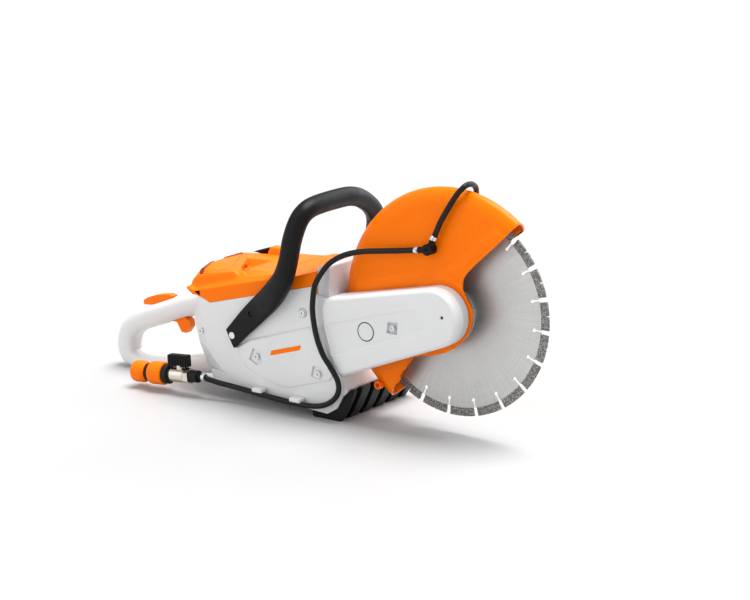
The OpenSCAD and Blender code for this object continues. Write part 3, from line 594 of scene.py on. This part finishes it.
TAIL = [(-203.2, 157.5), (-203.6, 155.4), (-193, 147.8), (-178, 146.6), (-178, 156.2), (-189.8, 153.2)]
tail = prism("hood_tail", TAIL, LID_NEAR, LID_FAR)
finish_piece(tail, "machine", ORANGE, bevel=0.6, segments=2)
TAB_ROWS = ((188, -147, -106, 38, 62), (194, -146.5, -108, 39, 61), (201, -145, -118, 42, 58))
tab = loft("lid_tab", [[(x0, y0, z), (x1, y0, z), (x1, y1, z), (x0, y1, z)]
                       for z, x0, x1, y0, y1 in TAB_ROWS])
finish_piece(tab, "lid", ORANGE, bevel=1.6, segments=3, angle=20)
# A black wedge behind the tab paints the shade inside the opening there.
wedge = prism("lid_tab_gap_shade", [(-178, 189), (-147, 187), (-147, 199), (-152, 197.8)], 45, 57)
finish_piece(wedge, "lid", BLACK)
HINGE_X, HINGE_Z = -57, 194.4
for y in (-54, 48):
    knuckle = rod("lid_knuckle", HINGE_X, HINGE_Z, y, y + 12, 2.6, 24)
    finish_piece(knuckle, "lid", ORANGE)


# ---- drive arm ----
def arm_outline(left, centre, radius, count=44):
    """An outline with the points left down its rear edge and an arc round its front end."""
    cx, cz = centre

    def touch(p, sign):
        dx, dz = p[0] - cx, p[1] - cz
        return math.atan2(dz, dx) - sign * math.acos(radius / math.hypot(dx, dz))

    top, bottom = touch(left[0], 1), touch(left[-1], -1)
    while bottom > top:
        bottom -= 2 * math.pi
    arc = [bottom + (top - bottom) * k / count for k in range(count + 1)]
    return list(left) + [(cx + radius * math.cos(a), cz + radius * math.sin(a)) for a in arc]


ARM_LEFT = [(57, 180), (48.5, 177), (43, 172), (39.5, 165.5), (39, 158), (39.3, 150), (41, 135), (53, 96),
            (60, 83), (67, 73), (75, 67)]
PANEL_LEFT = [(52, 141.6), (49.6, 140.4), (48.6, 138), (48.6, 134), (49.6, 128), (51, 122), (53, 114),
              (56, 103), (57.6, 98.4), (59.4, 95.8), (62, 95.6)]
# (inset, y) from the cover's open edge to its face, then the sunken panel.
ARM_STEPS = [(0.5, -68.02), (0, -68.6), (0, -77), (0.4, -79.8), (1.5, -82.6), (3.4, -84.9), (6.0, -86)]
PANEL_STEPS = [(-0.6, -86.0), (0, -85.6), (2.7, -83.7)]
arm = arm_outline(ARM_LEFT, (WHEEL[0], WHEEL[2]), 42)
panel = arm_outline(PANEL_LEFT, (197, 166.5), 17.5)
arm_shell = loft("arm_shell", side_rings(arm, ARM_STEPS) + side_rings(panel, PANEL_STEPS))
WINDOW = fillet([(151.5, 143), (153.5, 159), (170.5, 160.5), (170, 143)], 1.6, 3)
DOT = (244, 179)
DOT_R = 2.7
arm_cuts = [rod("dot", *DOT, -90, -83, DOT_R), prism("window", WINDOW, -90, -79.5)]
finish_piece(carve(arm_shell, arm_cuts), "machine", WHITE, ["arm_cover"])
window = prism("arm_window_floor", WINDOW, -79.7, -79.4)
finish_piece(window, "machine", GREY)

# The round cap sits in a black ring that paints the shade of the narrow groove round it.
CAP_AT = (117, 0, 139.5)
GAP_SHADE = [(-83.78, 12.3), (-83.78, 13.9), (-83.5, 13.9), (-83.5, 12.3)]
CAP = [(-83.5, 12.4), (-83.9, 12.4), (-84.15, 12.1), (-84.15, 10.6), (-83.95, 10.3)]
gap = lathe("cap_gap_shade", GAP_SHADE, CAP_AT, (0, 1, 0), 48, hollow=True)
finish_piece(gap, "machine", BLACK, weighted=False)
cap = lathe("cap_shell", CAP, CAP_AT, (0, 1, 0), 48)
finish_piece(cap, "machine", WHITE, ["arm_cap"])
# A black disc at the bottom of the small hole paints the hole's shade.
dot = rod("arm_hole_shade", *DOT, -83.2, -83.0, DOT_R)
finish_piece(dot, "machine", BLACK)

# ---- front handle ----
# x, y, z, half width, half thickness and squareness, from the flat bolted end up to the round bar
NEAR_LEG = [[-126, -88.2, 85, 14.1, 4.2, 6.5], [-112, -88.2, 99.5, 14.4, 4.2, 6.5],
            [-98, -88.2, 114, 15.4, 4.2, 6.5], [-79, -88.7, 132.6, 17.0, 4.6, 6.0],
            [-61, -90.5, 149, 17.4, 6.5, 4.6], [-43, -95, 164.5, 17.6, 9.5, 3.2],
            [-27, -99, 181, 17, 12.2, 2.6], [-13, -102, 199, 15.6, 13.3, 2.3],
            [-4.5, -103.5, 217, 14.2, 13.7, 2.2]]
TOP_BAR = [(0.2, -103.5, 234), (5, -103.5, 256), (12, -103, 277), (16.5, -98, 291), (19, -88, 299),
           (20.5, -74, 303), (21, -50, 304.5), (21, -20, 304.5), (20.5, 10, 303), (18.5, 36, 297),
           (15, 60, 286.5), (11.5, 80, 274), (7, 96, 259), (1.5, 105, 241)]
BAR_R = 13.6
# The far leg mirrors the near one about the middle of the body.
MIDDLE_Y = (LID_NEAR + LID_FAR) / 2
FAR_LEG = [[x, 2 * MIDDLE_Y - y, *section] for x, y, *section in reversed(NEAR_LEG)]
hoop_path = curve(NEAR_LEG + [[*p, BAR_R, BAR_R, 2.2] for p in TOP_BAR] + FAR_LEG, 5)
hoop = sweep("front_hoop", hoop_path, (0.86, 0, -0.5), 36)
END_CUT = [(-133.5, 126.6), (-124, 109), (-110, 83), (-100.5, 65.4), (-127, 51), (-160, 112)]
hoop_cuts = [rod("hole%d" % i, -77, 138, y, y + 30, 4.6) for i, y in enumerate((-122, 92))]
hoop_cuts.append(prism("hoop_end", END_CUT, -130, 134))
finish_piece(carve(hoop, hoop_cuts), "machine", BLACK, ["front_handle"], bevel=1.0,
             segments=3, angle=50)

# ---- rear handle ----
# x, z, half width, half height and squareness, once round the loop
GRIP = [(-160, 128, 34, 30, 2.8), (-176, 127, 31, 28, 2.7), (-188, 125, 26.5, 25, 2.5),
        (-201, 123.5, 21, 21, 2.4), (-214, 121, 18, 19, 2.3), (-228, 117.5, 17.2, 18.2, 2.3),
        (-255, 108.6, 17, 17.2, 2.3),
        (-290, 95, 17, 17, 2.3), (-322, 82.5, 17, 17, 2.3), (-343, 72.5, 17, 17.2, 2.3),
        (-356.5, 60, 17, 17.4, 2.3), (-363, 46, 17, 17.6, 2.4), (-364.5, 32, 17, 17.8, 2.5),
        (-361, 20.8, 17, 17, 2.6), (-352, 14.2, 16.8, 13.5, 2.7), (-337, 11.4, 16.5, 10.9, 2.8),
        (-318, 11.1, 16.5, 10.7, 2.8), (-290, 13, 17, 12, 2.7), (-250, 20, 17.5, 13, 2.6),
        (-210, 28, 18.4, 14.5, 2.6), (-184, 33, 20, 17, 2.6), (-160, 38, 23, 21, 2.6)]
grip_path = curve([[x, HANDLE_Y, z, *section] for x, z, *section in GRIP], 5)
grip = sweep("rear_grip", grip_path, (0, 1, 0), 36)
grip_cuts = [box("trigger_slot", (-286, -31, 58), (-241, -15, 103.5)),
             box("lever_slot", (-334, -30, 96), (-272, -16, 140)),
             box("inner_slot", (-285, -29, 90), (-262, -17, 100))]
finish_piece(carve(grip, grip_cuts), "machine", GRIP_WHITE,
             ["rear_handle_right", "rear_handle_left"], bevel=0.8, segments=2, angle=50)

# ---- wheel guard ----
# Points are (x, z) from the wheel's centre. Each mouth point's column starts at the hub, at its MOUTH_PHI.
MOUTH = [(-87.1, -122.1), (-72, -99), (-57, -75), (-44, -67), (-14, -60), (8, -51), (25.5, -39), (38.2, -24),
         (44.6, -9), (46.6, 5.4), (44, 16.2), (37.4, 26.5), (31.6, 37), (29.1, 47.6), (31.8, 56.6),
         (39.5, 66.5), (56.5, 83.5), (75.4, 101.2), (94, 119.2)]
MOUTH_PHI = [225, 232, 240, 247, 262, 280, 303, 328, 349, 367, 381, 397, 412, 424, 434, 441, 448, 454, 459]
FAR_MOUTH = [(-87.1, -122.1), (-72, -100), (-52, -72), (-36, -64), (-22, -57), (-8, -48), (5, -34),
             (16, -18), (24, -6), (30, 6), (34, 18), (37, 30), (41, 42), (45, 53), (50, 64), (56, 76),
             (64, 89), (73, 103), (88, 121.5)]
RIM_START, RIM_END, RIM_PHI = 52.0, 234.5, 99.0
RIM_R = 150
HUB_R, FAR_HUB_R, FAR_Y = 36.2, 46.0, 2.0
RIM_N, MOUTH_N, ROWS = 130, 6, 40
CREASE = [(-180, 22), (-126, 31), (-92, 40), (-46, 50), (-14, 61), (10, 78), (39, 102), (67, 125), (92, 147)]


def crease_side(x, z):
    """Distance of a point of the guard's near wall past the crease, towards the mouth, in millimetres."""
    best, side = 1e9, 0.0
    for (ax, az), (bx, bz) in zip(CREASE, CREASE[1:]):
        dx, dz = bx - ax, bz - az
        t = max(0.0, min(1.0, ((x - ax) * dx + (z - az) * dz) / (dx * dx + dz * dz)))
        px, pz = x - ax - t * dx, z - az - t * dz
        d = math.hypot(px, pz)
        if d < best:
            best, side = d, math.copysign(d, px * dz - pz * dx)
    return side


def near_y(x, z):
    """Plane of the guard's near wall, with its crease and its raised hub."""
    r = math.hypot(x, z)
    past = crease_side(x, z)
    y = -47.6 - 1.7 * ease(past / 2.6) - 2.4 * ease((past - 2) / 12) * ease((165 - r) / 18)
    return y - 2.0 * ease((54 - r) / 5) + 0.6 * ease((r - 120) / 30)


def guard_mesh():
    """Both walls and the rim of the guard as one sheet, in columns from the hub out to the edge."""
    mouth = curve([[*p, f] for p, f in zip(MOUTH, MOUTH_PHI)], MOUTH_N)
    far = curve([[*p, f] for p, f in zip(FAR_MOUTH, MOUTH_PHI)], MOUTH_N)
    bm = bmesh.new()
    columns = []
    for k in range(RIM_N + 1):
        a = math.radians(RIM_START + (RIM_END - RIM_START) * k / RIM_N)
        phi = math.radians(RIM_PHI + (MOUTH_PHI[0] - RIM_PHI) * k / RIM_N)
        edge = (RIM_R * math.cos(a), RIM_R * math.sin(a))
        columns.append((phi, edge, edge, a))
    for m, f in list(zip(mouth, far))[1:-1]:
        columns.append((math.radians(m[2]), (m[0], m[1]), (f[0], f[1]), None))

    def wall(phi, edge, height, inner):
        start = (inner * math.cos(phi), inner * math.sin(phi))
        row = []
        for v in range(ROWS + 1):
            t = v / ROWS
            x, z = (start[i] + (edge[i] - start[i]) * t for i in (0, 1))
            row.append(bm.verts.new(Vector((WHEEL[0] + x, height(x, z), WHEEL[2] + z)) * MM))
        return row

    near = [wall(phi, edge, near_y, HUB_R) for phi, edge, _, _ in columns]
    turn = [math.pi / 2 * i / 12 for i in range(1, 12)]
    rim = [(RIM_R + 24 * math.sin(b), -32 - 15 * math.cos(b)) for b in turn]
    rim += [(174, -32), (173.4, -28.5), (171.6, -24.5), (168.5, -19), (164.5, -13), (160.5, -7.5),
            (157, -3.2), (154, -0.3), (152, 1.3)]
    back = [wall(phi, edge, lambda x, z: FAR_Y, FAR_HUB_R) for phi, _, edge, _ in columns]
    n = len(columns)
    for rows in (near, back):
        for i in range(n):
            a, b = rows[i], rows[(i + 1) % n]
            for v in range(ROWS):
                bm.faces.new((a[v], b[v], b[v + 1], a[v + 1]))
    strips = []
    for i in range(RIM_N + 1):
        a = columns[i][3]
        strip = [near[i][-1]]
        slim = 7.5 * ease((math.degrees(a) - 192) / 40) / 24
        for r, y in rim:
            q = r - slim * (r - RIM_R)
            place = Vector((WHEEL[0] + q * math.cos(a), y, WHEEL[2] + q * math.sin(a)))
            strip.append(bm.verts.new(place * MM))
        strips.append(strip + [back[i][-1]])
    for a, b in zip(strips, strips[1:]):
        for v in range(len(a) - 1):
            bm.faces.new((a[v], b[v], b[v + 1], a[v + 1]))
    return mesh_from(bm, "guard_shell")


guard = guard_mesh()
guard.data.materials.append(GUARD)
guard.data.polygons.foreach_set("use_smooth", [True] * len(guard.data.polygons))
thick = guard.modifiers.new("thick", "SOLIDIFY")
thick.thickness = 2.4 * MM
thick.offset = -1.0
lip = guard.modifiers.new("lip", "BEVEL")
lip.width = 0.7 * MM
lip.segments = 2
lip.limit_method = "ANGLE"
lip.angle_limit = math.radians(55)
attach(guard, "guard")
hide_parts("guard_near_shell", "guard_far_shell")

spout = lathe("guard_spout", [(0, 3.6), (0, 5.4), (0.8, 5.9), (8.5, 5.9), (8.5, 3.2), (2, 3.2)],
              (116, -54.6, 55), (0, 1, 0), 32, hollow=True)
finish_piece(spout, "guard", GUARD, bevel=0.3, angle=30)

# ---- hoses ----
HOSE_D = 8.0
FEED = [(-158.5, -103, 33), (-137, -98, 28), (-100, -93, 24), (-49, -91.5, 20), (8, -91.5, 18),
        (41, -91.5, 21), (63, -91.5, 31), (75, -91.5, 46), (75, -92, 63), (63, -93, 82), (51, -94, 98),
        (42, -94.5, 118), (37, -95, 138), (34, -95, 160), (35.1, -95, 179.2), (38, -94, 197), (46, -90, 214),
        (56, -83, 229), (72, -73, 240), (96, -65, 247), (126, -60, 251), (156, -57.8, 255.2), (180, -57, 259),
        (189, -57, 260.5)]
# Behind this point the hose keeps still; from here to its end it follows the guard.
OVER = [(210.1, -57, 276.9), (215, -57, 288), (223, -57, 305), (234.8, -55.5, 325.8), (246.5, -54, 344.2),
        (252.6, -50.5, 352.2), (254.6, -43, 356), (254.3, -32, 355.6), (252.2, -21, 352), (248.5, -10, 345.2),
        (243.5, -1, 336.5), (241, 6, 328), (246, 8, 319), (256.5, 7.5, 311.4)]
feed = tube("water_hose", FEED, HOSE_D, (0, 1, 0.05))
finish_piece(feed, None, RUBBER, ["feed_hose", "free_hose"], weighted=False)
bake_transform(feed)
over = tube("guard_water_hose", OVER, HOSE_D, (0.95, 0, -0.3))
finish_piece(over, "guard", RUBBER, ["guard_hose"], weighted=False)

CLIPS = [("hose_clip_a", (-75, -97, 23.4), (-57, -82.4, 29.8)),
         ("hose_clip_b", (-8, -97, 20.2), (11, -82.4, 26.6))]
for i, (name, low, high) in enumerate(CLIPS):
    finish_piece(box(name, low, high), "machine", WHITE, ["hose_clips"] if i == 0 else (),
                 bevel=2.0, segments=3)

# ---- hose coupling ----
# Profiles run back along the coupling's axis from the end of the hose.
INLET = Vector((-160, -103, 33))
BACK = Vector((-0.99619, 0, -0.08716))


def knurl(start, end, count, depth):
    """Grooves along part of a turned piece, for lathe."""
    def radial(angle, s, r):
        return r - depth * (0.5 + 0.5 * math.cos(count * angle)) if start < s < end else r
    return radial


SOCKET = [(60.1, 4), (60.1, 11), (68.2, 11), (68.2, 15), (68.8, 16.4), (70.4, 17), (72, 17.1), (90, 17.1),
          (92.6, 16.4), (94, 14.8), (94.2, 11), (124, 11), (124, 8.1), (96, 8)]
body = lathe("coupling_shell", SOCKET, INLET, BACK, 96, knurl(71, 91, 24, 0.5))
finish_piece(body, "machine", ORANGE, ["coupling_body"], bevel=0.25, angle=40)
COLLAR = [(102, 12.8), (102, 13.6), (104.4, 13.9), (105.8, 15), (108, 16.1), (121, 16.1), (124.6, 15.2),
          (126, 13.6), (126, 11.1), (109, 11.1), (109, 12.8)]
collar = lathe("collar_shell", COLLAR, INLET, BACK, 96, knurl(109, 120, 24, 0.7), hollow=True)
finish_piece(collar, "collar", ORANGE, ["coupling_collar"], bevel=0.25, angle=40)
# Black rings sit in the coupling's two gaps: painted shade of those gaps.
for name, low, high, radius in (("seal_ring_a", 94.3, 101.6, 12.6), ("seal_ring_b", 59.0, 68.4, 14.6)):
    ring = lathe(name, [(low, 8.2), (low, radius - 0.8), (low + 0.8, radius), (high - 0.8, radius),
                        (high, radius - 0.8), (high, 8.2)], INLET, BACK, 64)
    finish_piece(ring, "machine", RUBBER, weighted=False)

hose_band = lathe("hose_band", [(-6.5, 4.0), (-6.5, 5.6), (-1.0, 5.9), (-0.5, 4.0)], INLET, BACK, 32,
                  hollow=True)
finish_piece(hose_band, "machine", STEEL, bevel=0.3, angle=40)
KNOB = [(-220, 40.5), (-221, 58.5), (-184.5, 61.7), (-183.5, 43.7)]
knob = prism("knob_shell", fillet(KNOB, 2.0, 3), -108, -98)
finish_piece(knob, "valve", BLACK, ["valve_knob"], bevel=1.0, segments=3)
RIB_PITCH, RIB_RISE, RIB_W = 5.0, 0.44, 2.2
for i in range(7):
    x, lift = -218.5 + RIB_PITCH * i, RIB_RISE * i
    rib = prism("knob_rib%d" % i, [(x, 43 + lift), (x, 57 + lift), (x + RIB_W, 57.2 + lift),
                                  (x + RIB_W, 43.2 + lift)], -109.2, -107.5)
    finish_piece(rib, "valve", BLACK, bevel=0.4)

# ---- foot ----
FOOT = [(22, 1), (26, 0), (70, 0), (80, 14), (92, 40), (95, 50), (88, 50), (86.2, 46.6), (76.2, 37.6),
        (66.2, 18.8), (50, 8.8), (22, 10.2)]
FOOT_CORE = [(26, 4.5), (65, 4.5), (74, 17), (85, 42), (87, 48), (76.2, 37.6), (66.2, 18.8), (50, 8.8),
             (26, 10)]
RIBS = ((-80, -72), (-60, -39), (-28, -7), (4, 25), (36, 57), (68, 84))
core = prism("foot_core", FOOT_CORE, -79, 83)
finish_piece(core, "machine", BLACK, ["front_foot"], bevel=0.8)
for i, (y0, y1) in enumerate(RIBS):
    rib = prism("foot_rib%d" % i, fillet(FOOT, 1.2, 2), y0, y1)
    finish_piece(rib, "machine", BLACK, bevel=1.2, segments=3, angle=40)

# ---- the rest of the CAD parts, with edges eased ----
# Bevel width and segments of each node that needs more than a hairline.
EASE = {
    "hood": (1.0, 3), "release_button": (0.9, 3), "arm_case": (0.8, 3), "trigger": (1.8, 3),
    "lockout_lever": (1.8, 3), "valve_body": (0.5, 2), "hose_ferrule": (0.7, 3), "hose_fitting": (0.7, 2),
    "guard_hose_clamps": (0.3, 2), "battery_pack": (2.0, 3), "fasteners": (0.4, 2), "wheel_core": (0.12, 1),
    "wheel_segments": (0.25, 1), "arbor_bolt": (0.5, 2), "outer_flange": (0.4, 2), "tension_screw": (0.3, 1),
    "motor_controller": (0.4, 1),
}
HAIRLINE = (0.2, 1)
slots = {part["node"]: part["material_slot"] for part in frame["record"]["subparts"]}
for name, node in NODES.items():
    if node.hide_render:
        continue
    node.data.materials.clear()
    node.data.materials.append({"release_button": BUTTON}.get(name, MATERIAL[slots[name]]))
    width, segments = EASE.get(name, HAIRLINE)
    tidy_shading(node, width, segments, 14 if name == "hood" else 30, weld=True)

# ---- floor, light and camera ----
FLOOR = 9000
floor = loft("floor", [[(-FLOOR, y, 0), (FLOOR, y, 0)] for y in (-FLOOR, FLOOR)], caps=False, closed=False)
ground = Graph("floor_white")
tone = ground.mix(ground.spread(ground.noise(3.0), 0.0, 1.0), (0.46, 0.46, 0.462), (0.48, 0.48, 0.48))
ground.link(tone, ground.shader.inputs["Base Color"])
ground.shader.inputs["Roughness"].default_value = 0.5
ground.bump(ground.noise(300.0), 0.02, 0.0002)
floor.data.materials.append(ground.material)

world = bpy.data.worlds.new("studio")
world.use_nodes = True
world.node_tree.nodes["Background"].inputs["Color"].default_value = (1.0, 1.0, 1.0, 1.0)
world.node_tree.nodes["Background"].inputs["Strength"].default_value = 0.5
bpy.context.scene.world = world


def sun(name, direction, power, spread):
    """Sun lamp shining along direction. spread, in degrees, softens its shadows."""
    light = bpy.data.lights.new(name, "SUN")
    light.energy = power
    light.angle = math.radians(spread)
    holder = bpy.data.objects.new(name, light)
    holder.rotation_euler = Vector(direction).to_track_quat("-Z", "Y").to_euler()
    bpy.context.scene.collection.objects.link(holder)


sun("softbox", (-0.16, -0.2, -1.0), 4.8, 40)
sun("back_glow", (-0.25, -1.0, -0.42), 1.6, 60)
sun("front_fill", (0.4, 0.8, -0.45), 0.9, 60)

lens = bpy.data.cameras.new("view")
lens.lens = 120.0
lens.sensor_width = 36.0
lens.clip_end = 100.0
VIEW_TURN, VIEW_DROP = 35.078, 14.387
camera = bpy.data.objects.new("view", lens)
camera.location = (2.0469, -2.8095, 1.0417)
camera.rotation_euler = (math.radians(90 - VIEW_DROP), 0, math.radians(VIEW_TURN))
bpy.context.scene.collection.objects.link(camera)
bpy.context.scene.camera = camera
bpy.context.scene.view_settings.view_transform = "Standard"
